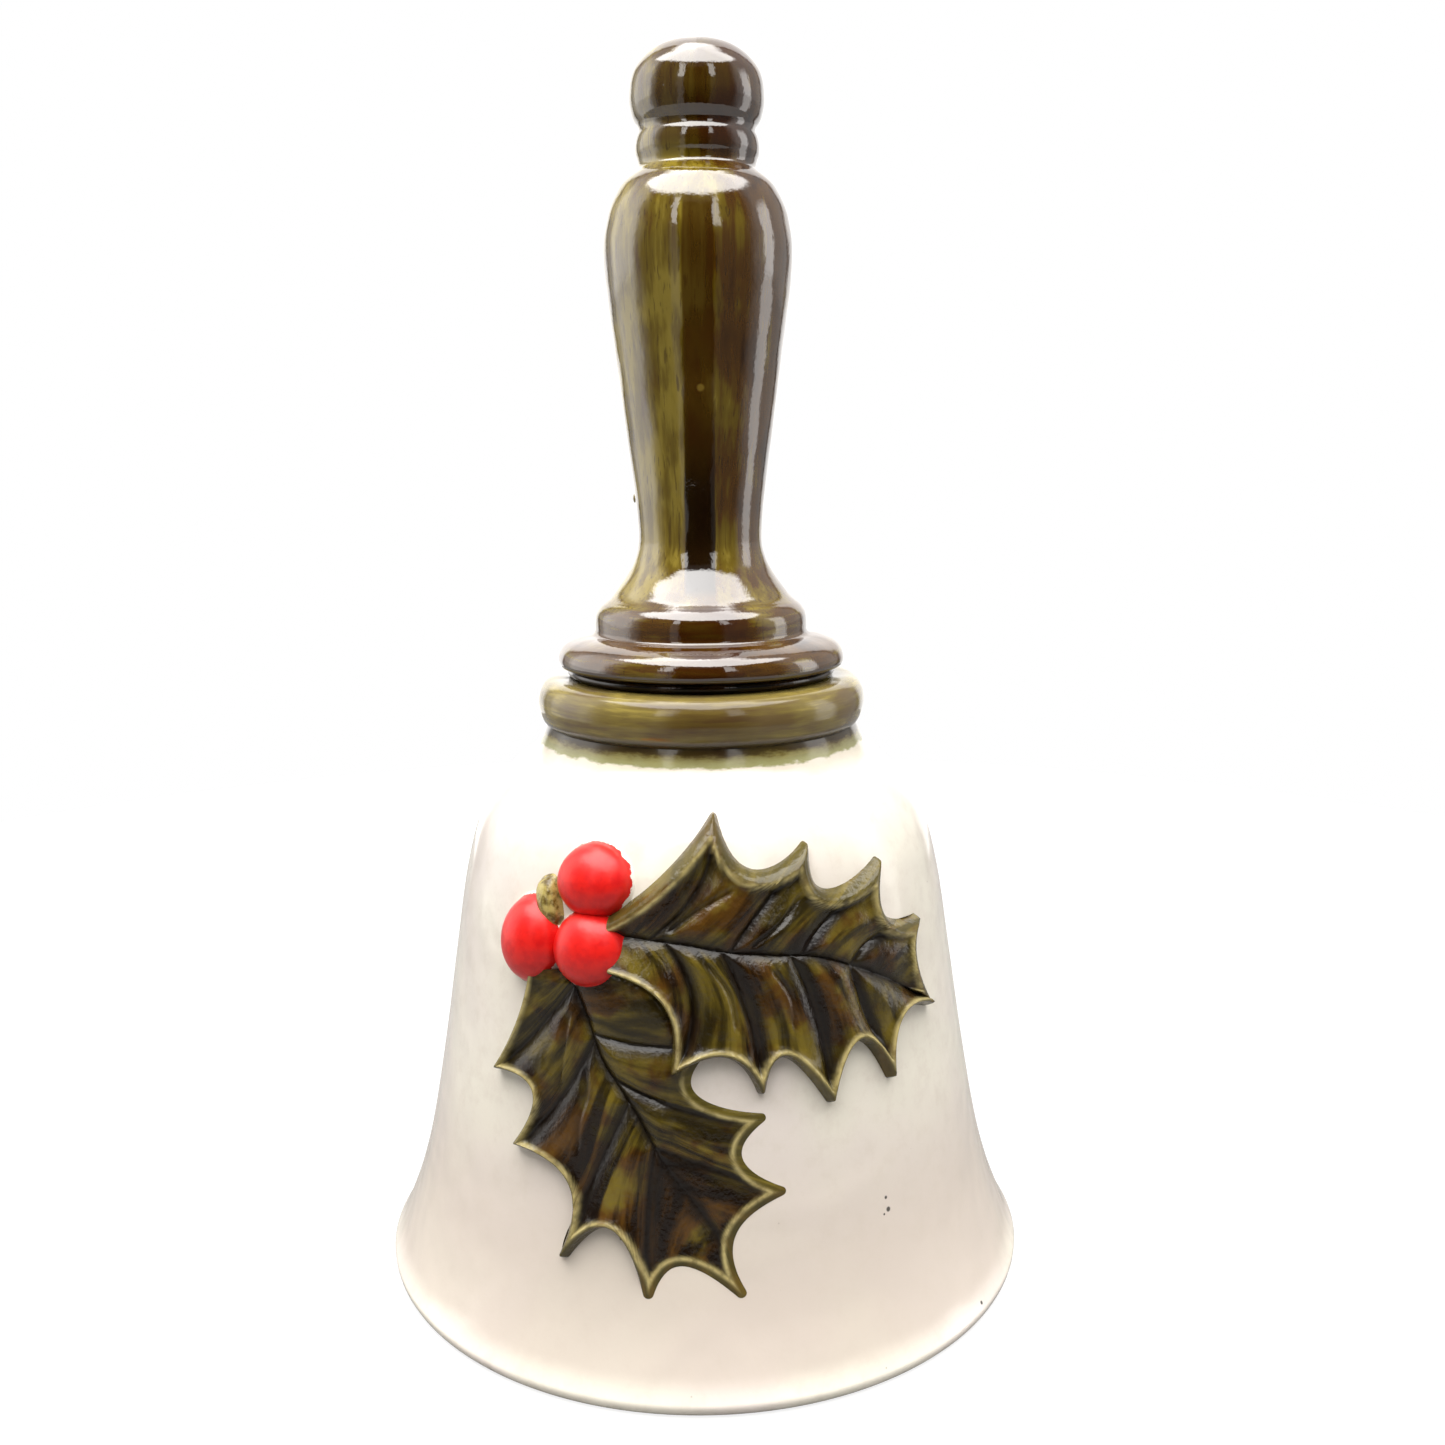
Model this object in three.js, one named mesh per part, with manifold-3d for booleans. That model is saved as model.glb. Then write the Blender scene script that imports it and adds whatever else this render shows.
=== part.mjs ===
// A glazed earthenware hand bell, dressed for Christmas with a moulded sprig of holly.
//
// Millimetres, +Z up. The origin is on the bell's axis, in the plane of its rim, so the bell
// stands on Z = 0. The holly faces -Y.
//
// The bell is a slip-cast shell. The cast handle is luted to its crown, and leaves, stalk and
// berries are sprigs luted to its wall. A plaster plug in the throat holds a wire staple, an
// oval link hangs in the staple, and the clapper's wire hangs in the link.

import * as THREE from 'three';
import { mergeVertices } from 'three/addons/utils/BufferGeometryUtils.js';
import Module from 'manifold-3d';

// ---------------------------------------------------------------- driving dimensions

const rimRadius = 56.6;          // widest part of the lip
const lipHeight = 2;             // height of the lip's widest line
const wallThickness = 4.2;       // cast wall of the bell
const footWidth = 2.4;           // flat ring that the bell stands on
const neckRadius = 26.7;         // groove under the crown ring
const neckHeight = 95;
const crownRingRadius = 28.2;
const crownHeight = 103;         // flat top of the bell shell
const crownThickness = 4.6;
const throatRadius = 8;          // hole through the crown

const totalHeight = 205;
const handleBaseHeight = 104.8;  // underside of the handle
const handleBaseRadius = 24.7;
const gripRadius = 15.5;
const handleWall = 5.6;          // cast wall of the handle

const gap = 0.3;                 // kept between pieces that touch
const reliefHeight = 2.4;        // how far the leaves stand off the wall

const stapleWire = 1.8;          // wire diameters
const linkWire = 1.8;
const clapperWire = 1.6;
const staplePivot = 86;          // height of the staple's bend, where the link swings
const linkPivot = 75;            // height of the link's lower bend, where the clapper swings
const ballRadius = 10;
const ballHeight = 24;           // centre of the clapper's ball

const shellSegments = 44;
const handleSegments = 28;

// ---------------------------------------------------------------- materials

function glaze(color, roughness) {
  return new THREE.MeshStandardMaterial({ color, roughness, metalness: 0 });
}

const whiteGlaze = glaze(0xece6dc, 0.18);
const oliveGlaze = glaze(0x6e5c26, 0.15);
const leafGlaze = glaze(0x4c4320, 0.2);
const berryPaint = glaze(0xe02a20, 0.35);
const fusedGlaze = glaze(0x1d130a, 0.2);
const plaster = glaze(0xd9d2c4, 0.9);
const beadGlaze = glaze(0xe6dfd0, 0.2);
const steel = new THREE.MeshStandardMaterial({ color: 0x9a9a96, roughness: 0.35, metalness: 1 });
const brass = new THREE.MeshStandardMaterial({ color: 0xb08d4a, roughness: 0.35, metalness: 1 });

// ---------------------------------------------------------------- shape helpers

// A closed section, given as radius and height, turned about the bell's axis.
function turned(path, divisions, segments) {
  const geometry = new THREE.LatheGeometry(path.getPoints(divisions), segments);
  geometry.rotateX(Math.PI / 2);
  return geometry;
}

function stations(list) {
  return list.map(([radius, height]) => new THREE.Vector2(radius, height));
}

// Points along a turned curve, moved square to it: outwards where the distance is positive.
function beside(curve, distance, steps) {
  const points = [];
  for (let i = 0; i <= steps; i++) {
    const along = curve.getTangent(i / steps);
    const outwards = new THREE.Vector2(along.y, -along.x);
    points.push(curve.getPoint(i / steps).addScaledVector(outwards, distance));
  }
  return points;
}

function lineThrough(path, points) {
  for (const point of points) path.lineTo(point.x, point.y);
}

// Wire bent along a curve.
function wire(curve, diameter, steps) {
  const section = new THREE.Shape();
  section.absarc(0, 0, diameter / 2, 0, 2 * Math.PI);
  return new THREE.ExtrudeGeometry(section, { extrudePath: curve, steps, curveSegments: 4 });
}

// A flat outline, given as X and height, pushed forwards from the axis through the wall.
function pushedForward(outline) {
  const depth = rimRadius + 10;
  const geometry = new THREE.ExtrudeGeometry(outline, { depth, bevelEnabled: false, curveSegments: 4 });
  geometry.rotateX(Math.PI / 2);
  return geometry;
}

// A closed geometry as a solid that can be joined and cut.
const wasm = await Module();
wasm.setup();

function solid(geometry) {
  const bare = geometry.clone();
  bare.deleteAttribute('normal');
  bare.deleteAttribute('uv');
  const merged = mergeVertices(bare, 1e-4);
  const corners = merged.index.array;
  const triangles = [];
  for (let i = 0; i < corners.length; i += 3) {
    const [a, b, c] = corners.slice(i, i + 3);
    if (a !== b && b !== c && c !== a) triangles.push(a, b, c);
  }
  return new wasm.Manifold(new wasm.Mesh({
    numProp: 3,
    vertProperties: merged.attributes.position.array,
    triVerts: Uint32Array.from(triangles),
  }));
}

function geometryOf(manifold) {
  const mesh = manifold.getMesh();
  const geometry = new THREE.BufferGeometry();
  geometry.setAttribute('position', new THREE.BufferAttribute(mesh.vertProperties, mesh.numProp));
  geometry.setIndex(new THREE.BufferAttribute(mesh.triVerts, 1));
  return geometry;
}

// ---------------------------------------------------------------- bell shell

// Stations of the outer wall, radius and height, from above the lip to the neck.
const wallStations = [
  [54.5, 6], [51.5, 14], [48.9, 24], [46, 40], [43.5, 56], [41.2, 70],
  [38.3, 80], [33.5, 87], [28.8, 91], [neckRadius, neckHeight],
];

const wallCurve = new THREE.SplineCurve(stations(wallStations));

function bellShell() {
  const footOuter = rimRadius - 1.4;
  const footInner = footOuter - footWidth;
  const section = new THREE.Path();
  section.moveTo(footInner, 0);
  section.lineTo(footOuter, 0);
  section.quadraticCurveTo(rimRadius, 0.3, rimRadius, lipHeight);
  section.splineThru(stations(wallStations));
  section.quadraticCurveTo(crownRingRadius, neckHeight + 1.5, crownRingRadius, neckHeight + 4.8);
  section.quadraticCurveTo(crownRingRadius, crownHeight - 1, crownRingRadius - 3.2, crownHeight);
  section.lineTo(throatRadius, crownHeight);
  section.lineTo(throatRadius, crownHeight - crownThickness);
  section.lineTo(neckRadius - wallThickness - 3, crownHeight - crownThickness);
  lineThrough(section, beside(wallCurve, -wallThickness, wallStations.length - 1).reverse());
  section.lineTo(footInner, 0);
  return turned(section, 2, shellSegments);
}

// ---------------------------------------------------------------- handle

// Stations of the waist and grip above the small ring, radius and height.
const gripStations = [
  [14.6, 117.5], [11.2, 123], [10.7, 130], [13.1, 150], [gripRadius, 169.5], [15, 177.5],
  [9.8, 185.8],
];

// Stations of the knob above its collar.
const knobStations = [[9.9, 193], [11, 196.2], [10.3, 200], [7.7, 203], [4.2, 204.6]];

const hollowBaseRadius = 13.5;   // wide foot of the hollow, over the throat plug's head

function handle() {
  const section = new THREE.Path();
  section.moveTo(0, 182);
  const grip = new THREE.SplineCurve(stations(gripStations));
  lineThrough(section, beside(grip, -handleWall, gripStations.length - 1).reverse());
  section.lineTo(hollowBaseRadius, 111);
  section.lineTo(hollowBaseRadius, handleBaseHeight);
  section.lineTo(handleBaseRadius - 1, handleBaseHeight);
  section.quadraticCurveTo(handleBaseRadius + 0.9, handleBaseHeight + 1.6, 23.6, 108);
  section.quadraticCurveTo(22, 109.6, 18.3, 110.6);
  section.quadraticCurveTo(18.2, 113.5, 17.8, 114.4);
  section.quadraticCurveTo(17.2, 115.4, 16.2, 115.9);
  section.splineThru(stations(gripStations));
  section.quadraticCurveTo(10.2, 188, 9.6, 191);
  section.splineThru(stations(knobStations));
  section.lineTo(0, totalHeight);
  return turned(section, 2, handleSegments);
}

// The bead of slip and glaze that joins the handle to the crown. It shows as a dark groove.
function joiningBead() {
  const inner = hollowBaseRadius + 1.5;
  const outer = handleBaseRadius - 1.5;
  const bead = new THREE.Path();
  bead.moveTo(inner, crownHeight + gap);
  bead.lineTo(outer - 0.8, crownHeight + gap);
  bead.quadraticCurveTo(outer, crownHeight + 0.9, outer - 0.8, handleBaseHeight - gap);
  bead.lineTo(inner, handleBaseHeight - gap);
  bead.lineTo(inner, crownHeight + gap);
  return turned(bead, 2, handleSegments);
}

// ---------------------------------------------------------------- holly

// The bell's outer form, let out by a distance square to its wall.
function wallBody(distance) {
  const section = new THREE.Path();
  section.moveTo(0, wallStations[0][1]);
  lineThrough(section, beside(wallCurve, distance, 2 * (wallStations.length - 1)));
  section.lineTo(0, neckHeight);
  return solid(turned(section, 1, shellSegments));
}

// Radius of the outer wall at a height, between its stations.
function wallRadius(height) {
  const above = wallStations.findIndex(([, z]) => z > height);
  const [lowRadius, low] = wallStations[above - 1];
  const [highRadius, high] = wallStations[above];
  return THREE.MathUtils.mapLinear(height, low, high, lowRadius, highRadius);
}

// One berry: where its middle is on the wall (X and height), its half width and half height, and
// how far the wall leans back there.
const berries = {
  berry_top: { x: -16.2, z: 77.6, halfWidth: 5.5, halfHeight: 5.7, lean: 0.3 },
  berry_left: { x: -26, z: 67.4, halfWidth: 4.7, halfHeight: 6.1, lean: 0.17 },
  berry_lower: { x: -16.6, z: 66.4, halfWidth: 4.9, halfHeight: 5.6, lean: 0.17 },
};
const berryProud = 4.4;

// A berry is half of a flattened ball, set square to the wall. Extra makes room around it.
function berryBall({ x, z, halfWidth, halfHeight, lean }, extra) {
  const radius = wallRadius(z);
  const geometry = new THREE.SphereGeometry(1, 16, 12);
  geometry.scale(halfWidth + extra, berryProud + extra, halfHeight + extra);
  geometry.rotateX(-lean);
  geometry.rotateZ(Math.asin(x / radius));
  geometry.translate(x, -Math.sqrt(radius ** 2 - x ** 2), z);
  return solid(geometry);
}

const clearOfWall = wallBody(gap);

function berry(place) {
  return geometryOf(berryBall(place, 0).subtract(clearOfWall));
}

// A holly edge runs from spine to spine. Each bay between two spines is one hollow curve, given
// by the bottom of its hollow.
function hollyEdge(outline, from, baysAndSpines) {
  let last = from;
  for (const [bay, spine] of baysAndSpines) {
    const controlX = 2 * bay[0] - (last[0] + spine[0]) / 2;
    const controlZ = 2 * bay[1] - (last[1] + spine[1]) / 2;
    outline.quadraticCurveTo(controlX, controlZ, spine[0], spine[1]);
    last = spine;
  }
}

function rightLeafOutline() {
  const outline = new THREE.Shape();
  outline.moveTo(-12.6, 64);
  outline.lineTo(-13, 71.6);
  hollyEdge(outline, [-13, 71.6], [
    [[-6, 77], [2.2, 86]],
    [[7.6, 78.4], [16, 81.4]],
    [[18.8, 74.4], [27.6, 77.2]],
    [[28.2, 69], [34.4, 66.4]],
    [[33.4, 61.2], [36.3, 52.6]],
    [[30.7, 53.2], [29.4, 44.5]],
    [[23.7, 51.9], [19.7, 43.6]],
    [[12.7, 51.6], [9.2, 46.5]],
    [[4.1, 52.2], [-3.8, 49.8]],
    [[-4.8, 59.6], [-12.6, 64]],
  ]);
  return outline;
}

function lowerLeafOutline() {
  const outline = new THREE.Shape();
  outline.moveTo(-12.8, 63);
  outline.lineTo(-25.6, 60);
  hollyEdge(outline, [-25.6, 60], [
    [[-27.4, 53.6], [-31.4, 45.3]],
    [[-24.9, 44], [-28.1, 34.9]],
    [[-19.4, 31.6], [-20.7, 20.4]],
    [[-13.2, 25.9], [-7.9, 16.5]],
    [[-2.8, 21.4], [6.1, 16.7]],
    [[4.6, 25.4], [12.2, 30.9]],
    [[5.6, 36.4], [9.2, 42.2]],
    [[0.6, 44.4], [-1.6, 48.2]],
  ]);
  outline.lineTo(-4.6, 48.6);
  outline.quadraticCurveTo(-5.4, 58.6, -12.8, 63);
  return outline;
}

function stalkOutline() {
  const outline = new THREE.Shape();
  outline.moveTo(-20.6, 69.5);
  outline.lineTo(-19, 72.5);
  outline.quadraticCurveTo(-21.6, 77.4, -23.4, 76.6);
  outline.quadraticCurveTo(-26, 74.6, -24.6, 71);
  outline.lineTo(-20.6, 69.5);
  return outline;
}

const reliefFace = wallBody(gap + reliefHeight);

// A sprig pressed from its outline, cut back where the berries sit on it.
function sprig(outline) {
  let pressed = solid(pushedForward(outline)).intersect(reliefFace).subtract(clearOfWall);
  for (const place of Object.values(berries)) {
    pressed = pressed.subtract(berryBall(place, gap));
  }
  return geometryOf(pressed);
}

// ---------------------------------------------------------------- clapper and its hanging

const stapleHalfWidth = 4;       // from the axis to each leg of the staple
const linkHalfWidth = 3.6;
const eyeRadius = 3.2;           // middle line of the eye on the clapper's wire
const washerRadius = 3.4;
const washerThickness = 0.8;
const plugRadius = throatRadius - gap;
const plugHeadRadius = 12.4;

// The staple is a U of wire, with its legs up in the plug.
function stapleCurve() {
  const legTop = crownHeight + 3;
  const bendTop = staplePivot + stapleHalfWidth;
  const curve = new THREE.CurvePath();
  curve.add(new THREE.LineCurve3(
    new THREE.Vector3(-stapleHalfWidth, 0, legTop),
    new THREE.Vector3(-stapleHalfWidth, 0, bendTop),
  ));
  const bend = [];
  for (let i = 0; i <= 8; i++) {
    const angle = Math.PI * (1 + i / 8);
    bend.push(new THREE.Vector3(
      stapleHalfWidth * Math.cos(angle), 0, bendTop + stapleHalfWidth * Math.sin(angle),
    ));
  }
  curve.add(new THREE.CatmullRomCurve3(bend));
  curve.add(new THREE.LineCurve3(
    new THREE.Vector3(stapleHalfWidth, 0, bendTop),
    new THREE.Vector3(stapleHalfWidth, 0, legTop),
  ));
  return curve;
}

function staple() {
  return wire(stapleCurve(), stapleWire, 30);
}

// The plug fills the throat and spreads out on top of the crown, under the handle.
function throatPlug() {
  const section = new THREE.Path();
  section.moveTo(0, crownHeight - 5);
  section.lineTo(plugRadius - 1, crownHeight - 5);
  section.lineTo(plugRadius, crownHeight - 4);
  section.lineTo(plugRadius, crownHeight + gap);
  section.lineTo(plugHeadRadius, crownHeight + gap);
  section.lineTo(plugHeadRadius, crownHeight + 3.5);
  section.lineTo(0, crownHeight + 5.5);
  let plug = solid(turned(section, 1, 32));
  const hole = new THREE.CylinderGeometry(stapleWire / 2 + gap, stapleWire / 2 + gap, 10, 12);
  hole.rotateX(Math.PI / 2);
  for (const side of [-1, 1]) {
    const drilled = hole.clone().translate(side * stapleHalfWidth, 0, crownHeight - 1.6);
    plug = plug.subtract(solid(drilled));
  }
  return geometryOf(plug);
}

// The oval link is a closed ring of wire in the YZ plane. Its upper bend lies over the staple.
function link() {
  const top = staplePivot + stapleWire / 2 + gap + linkWire / 2;
  const straight = (top - linkPivot) / 2 - linkHalfWidth;
  const middle = (top + linkPivot) / 2;
  const points = [];
  for (const [side, start] of [[1, 0], [-1, Math.PI]]) {
    for (let i = 0; i <= 6; i++) {
      const angle = start + Math.PI * i / 6;
      points.push(new THREE.Vector3(
        0, linkHalfWidth * Math.cos(angle), middle + side * straight + linkHalfWidth * Math.sin(angle),
      ));
    }
  }
  return ringOfWire(points, linkWire, 32);
}

// A ring of wire through the points: sections set out around a closed curve and joined up.
function ringOfWire(points, diameter, steps) {
  const curve = new THREE.CatmullRomCurve3(points, true, 'centripetal');
  return new THREE.TubeGeometry(curve, steps, diameter / 2, 8, true);
}

// The clapper's wire: a round eye in the XZ plane through the link, a straight stem down through
// the ball, and a foot bent sideways under the washer.
function clapperStem() {
  const eyeTop = linkPivot + linkWire / 2 + gap + clapperWire / 2;
  const eyeMiddle = eyeTop - eyeRadius;
  const points = [];
  for (let i = 0; i <= 8; i++) {
    const angle = THREE.MathUtils.degToRad(-48 + 33 * i);
    points.push([eyeRadius * Math.cos(angle), eyeMiddle + eyeRadius * Math.sin(angle)]);
  }
  const foot = ballHeight - ballRadius - washerThickness - gap - clapperWire / 2 - 0.6;
  points.push([-0.7, eyeMiddle - eyeRadius - 0.6], [0, eyeMiddle - eyeRadius - 2.4]);
  points.push([0, eyeMiddle - eyeRadius - 6], [0, ballHeight], [0, foot + 6], [0, foot + 2]);
  points.push([0.7, foot + 0.4], [2.2, foot], [3.6, foot]);
  const curve = new THREE.CatmullRomCurve3(points.map(([x, z]) => new THREE.Vector3(x, 0, z)));
  return wire(curve, clapperWire, 50);
}

function clapperWasher() {
  const hole = clapperWire / 2 + gap;
  const top = ballHeight - ballRadius - gap;
  const section = new THREE.Path();
  section.moveTo(hole, top - washerThickness);
  section.lineTo(washerRadius, top - washerThickness);
  section.lineTo(washerRadius, top);
  section.lineTo(hole, top);
  section.lineTo(hole, top - washerThickness);
  return turned(section, 1, 24);
}

function clapperBall() {
  const hole = clapperWire / 2 + gap;
  const section = new THREE.Path();
  const reach = Math.sqrt(ballRadius ** 2 - hole ** 2);
  const start = Math.atan2(-reach, hole);
  section.moveTo(hole, ballHeight - reach);
  section.absarc(0, ballHeight, ballRadius, start, -start);
  section.lineTo(hole, ballHeight - reach);
  return turned(section, 6, 20);
}

// ---------------------------------------------------------------- assembly

const bell = new THREE.Group();

function add(name, geometry, material) {
  const mesh = new THREE.Mesh(geometry, material);
  mesh.name = name;
  bell.add(mesh);
}

add('bell_shell', bellShell(), whiteGlaze);
add('handle', handle(), oliveGlaze);
add('joining_bead', joiningBead(), fusedGlaze);
add('holly_leaf_right', sprig(rightLeafOutline()), leafGlaze);
add('holly_leaf_lower', sprig(lowerLeafOutline()), leafGlaze);
add('holly_stalk', sprig(stalkOutline()), leafGlaze);
for (const [name, place] of Object.entries(berries)) {
  add(name, berry(place), berryPaint);
}
add('throat_plug', throatPlug(), plaster);
add('hanger_staple', staple(), steel);
add('hanger_link', link(), steel);
add('clapper_wire', clapperStem(), steel);
add('clapper_ball', clapperBall(), beadGlaze);
add('clapper_washer', clapperWasher(), brass);

export default bell;
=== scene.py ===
# A glazed earthenware hand bell, dressed for Christmas with a moulded sprig of holly.
#
# Shapes are worked out in millimetres, in the bell's own frame: +Z up the axis, the rim on Z = 0
# and the holly facing -Y. A finished mesh is scaled to metres once, at the end of its making.
import math

import bmesh
import bpy
from mathutils import Matrix, Vector, kdtree, noise
from mathutils.geometry import interpolate_bezier


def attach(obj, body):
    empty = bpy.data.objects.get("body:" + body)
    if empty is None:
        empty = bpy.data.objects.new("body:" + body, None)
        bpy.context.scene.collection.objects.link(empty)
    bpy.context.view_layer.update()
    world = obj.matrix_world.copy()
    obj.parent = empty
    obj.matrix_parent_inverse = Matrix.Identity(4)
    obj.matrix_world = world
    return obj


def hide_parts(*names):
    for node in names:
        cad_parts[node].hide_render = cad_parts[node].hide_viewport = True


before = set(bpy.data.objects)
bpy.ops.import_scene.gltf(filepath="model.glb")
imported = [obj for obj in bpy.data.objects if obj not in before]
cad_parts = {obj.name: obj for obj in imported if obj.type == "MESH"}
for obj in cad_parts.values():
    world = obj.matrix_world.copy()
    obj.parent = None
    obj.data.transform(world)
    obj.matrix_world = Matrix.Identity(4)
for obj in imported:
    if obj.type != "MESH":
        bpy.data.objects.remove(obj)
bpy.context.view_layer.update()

# ---------------------------------------------------------------- bell shell
# Slip-cast earthenware, poured in a plaster mould, with a hole left through the crown. It is
# dipped in a warm white glaze and wiped at the foot ring, and the neck and the crown ring are
# brushed over with olive glaze before the firing.

MM = 0.001
rim_radius = 56.6
foot_inner = 52.8
foot_outer = 55.2
wall_thickness = 4.2
# The outer wall, given as radius and height, from the lip to the neck.
wall_stations = [
    (rim_radius, 2), (54.5, 6), (51.5, 14), (48.9, 24), (46, 40), (43.5, 56), (41.2, 70),
    (38.3, 80), (33.5, 87), (28.8, 91), (26.7, 95),
]
crown_radius = 28.2
crown_height = 103
crown_thickness = 4.6
throat_radius = 8
border_height = 92.2          # where the brushed olive ends on the shoulder
olive_radius = 25.2           # no olive within this, under the crown
pinhole_size = 0.022          # as a share of the cells that they are scattered in
pinhole_depth = 0.05

# Iron specks in the white glaze: X, height and width.
specks = [(28.9, 25.8, 0.5), (29.3, 23.9, 0.75), (28.6, 23.4, 0.35), (45.8, 3, 0.6), (-12, 24, 0.5)]


def points(pairs):
    return [Vector(pair) for pair in pairs]


def smooth_line(stations, steps):
    """A smooth line through the stations, like the edge of a turner's template."""
    stations = points(stations)
    ends = [stations[0], *stations, stations[-1]]
    line = [stations[0]]
    for before, start, end, after in zip(ends, ends[1:], ends[2:], ends[3:]):
        leaving = start + (end - before) / 6
        arriving = end - (after - start) / 6
        line += interpolate_bezier(start, leaving, arriving, end, steps + 1)[1:]
    return line


def bend(start, corner, end, steps):
    """A round bend from start to end, drawn towards its corner."""
    start, corner, end = points([start, corner, end])
    leaving = start + (corner - start) * 2 / 3
    arriving = end + (corner - end) * 2 / 3
    return interpolate_bezier(start, leaving, arriving, end, steps + 1)


def beside(line, distance):
    """The line moved square to itself, to its right."""
    moved = []
    for i, point in enumerate(line):
        along = line[min(i + 1, len(line) - 1)] - line[max(i - 1, 0)]
        moved.append(point + Vector((along.y, -along.x)).normalized() * distance)
    return moved


def turned(section, steps, closed=True):
    """A body turned about the axis from its section, given as radius and height."""
    line = [section[0]]
    for point in section[1:]:
        if (point - line[-1]).length > 1e-4:
            line.append(point)
    body = bmesh.new()
    corners = [body.verts.new((point.x, 0, point.y)) for point in line]
    edges = [body.edges.new(pair) for pair in zip(corners, corners[1:])]
    if closed:
        edges.append(body.edges.new((corners[-1], corners[0])))
    bmesh.ops.spin(
        body, geom=corners + edges, cent=(0, 0, 0), axis=(0, 0, 1), angle=math.tau,
        steps=steps, use_merge=True,
    )
    bmesh.ops.remove_doubles(body, verts=body.verts, dist=1e-4)
    bmesh.ops.recalc_face_normals(body, faces=body.faces)
    return body


def finished(name, body, material, crease=50):
    """The mesh as an object in metres, smooth except where it turns by more than the crease."""
    bmesh.ops.scale(body, vec=(MM, MM, MM), verts=body.verts)
    mesh = bpy.data.meshes.new(name)
    body.to_mesh(mesh)
    body.free()
    mesh.shade_smooth()
    mesh.set_sharp_from_angle(angle=math.radians(crease))
    mesh.materials.append(material)
    piece = bpy.data.objects.new(name, mesh)
    bpy.context.collection.objects.link(piece)
    return piece


def hue(red, green, blue):
    """A colour on the 0 to 255 scale, as the shader's linear light."""
    def linear(level):
        level /= 255
        return level / 12.92 if level <= 0.04045 else ((level + 0.055) / 1.055) ** 2.4
    return (linear(red), linear(green), linear(blue), 1)


class Recipe:
    """Shader nodes laid down one after another, each fed by the ones before it."""

    def __init__(self, tree):
        self.nodes = tree.nodes
        self.links = tree.links

    def join(self, value, socket):
        if isinstance(value, bpy.types.NodeSocket):
            self.links.new(value, socket)
        else:
            socket.default_value = value

    def node(self, kind, inputs=None, **settings):
        """A node with its settings made and its inputs set or joined up."""
        made = self.nodes.new(kind)
        for setting, value in settings.items():
            setattr(made, setting, value)
        for socket, value in (inputs or {}).items():
            self.join(value, made.inputs[socket])
        return made

    def noise(self, place, scale, detail=3, roughness=0.5):
        made = self.node("ShaderNodeTexNoise", {
            "Vector": place, "Scale": scale, "Detail": detail, "Roughness": roughness,
        })
        return made.outputs["Fac"]

    def math(self, operation, first, second=0.0):
        return self.node("ShaderNodeMath", {0: first, 1: second}, operation=operation).outputs[0]

    def sum(self, *values):
        total = values[0]
        for value in values[1:]:
            total = self.math("ADD", total, value)
        return total

    def product(self, *values):
        total = values[0]
        for value in values[1:]:
            total = self.math("MULTIPLY", total, value)
        return total

    def ramp(self, value, low, high, bottom=0.0, top=1.0):
        """The value spread from low..high onto bottom..top, with soft ends."""
        made = self.node("ShaderNodeMapRange", {
            "Value": value, "From Min": low, "From Max": high, "To Min": bottom, "To Max": top,
        }, interpolation_type="SMOOTHSTEP")
        return made.outputs[0]

    def mix(self, share, first, second):
        made = self.node("ShaderNodeMix", data_type="RGBA")
        self.join(share, made.inputs[0])
        self.join(first, made.inputs[6])
        self.join(second, made.inputs[7])
        return made.outputs[2]


class Finish(Recipe):
    """A material under construction, with its shader."""

    def __init__(self, name, **sockets):
        self.material = bpy.data.materials.new(name)
        self.material.use_nodes = True
        super().__init__(self.material.node_tree)
        self.shader = self.nodes["Principled BSDF"]
        self.show(**sockets)
        self.object_place = self.node("ShaderNodeTexCoord").outputs["Object"]
        self.place = self.stretched(1, 1, 1)

    def stretched(self, x, y, z):
        """Object coordinates in millimetres, times a stretch along each axis."""
        scale = (x / MM, y / MM, z / MM)
        return self.node("ShaderNodeMapping", {0: self.object_place, "Scale": scale}).outputs[0]

    def apart(self):
        """The place's X, Y and Z, in millimetres."""
        return self.node("ShaderNodeSeparateXYZ", {0: self.place}).outputs

    def near(self, spot, inner, outer, strength):
        """A round mark about a spot, at full strength within inner and gone beyond outer."""
        away = self.node("ShaderNodeVectorMath", {0: self.place, 1: spot}, operation="DISTANCE")
        return self.ramp(away.outputs["Value"], inner, outer, strength, 0)

    def bump(self, height):
        """The shader normal for a height in millimetres."""
        return self.node("ShaderNodeBump", {"Height": height, "Distance": MM}).outputs[0]

    def show(self, **sockets):
        """Sets or joins the shader's sockets, and hands back the material."""
        for socket, value in sockets.items():
            self.join(value, self.shader.inputs[socket.replace("_", " ")])
        return self.material


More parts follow.
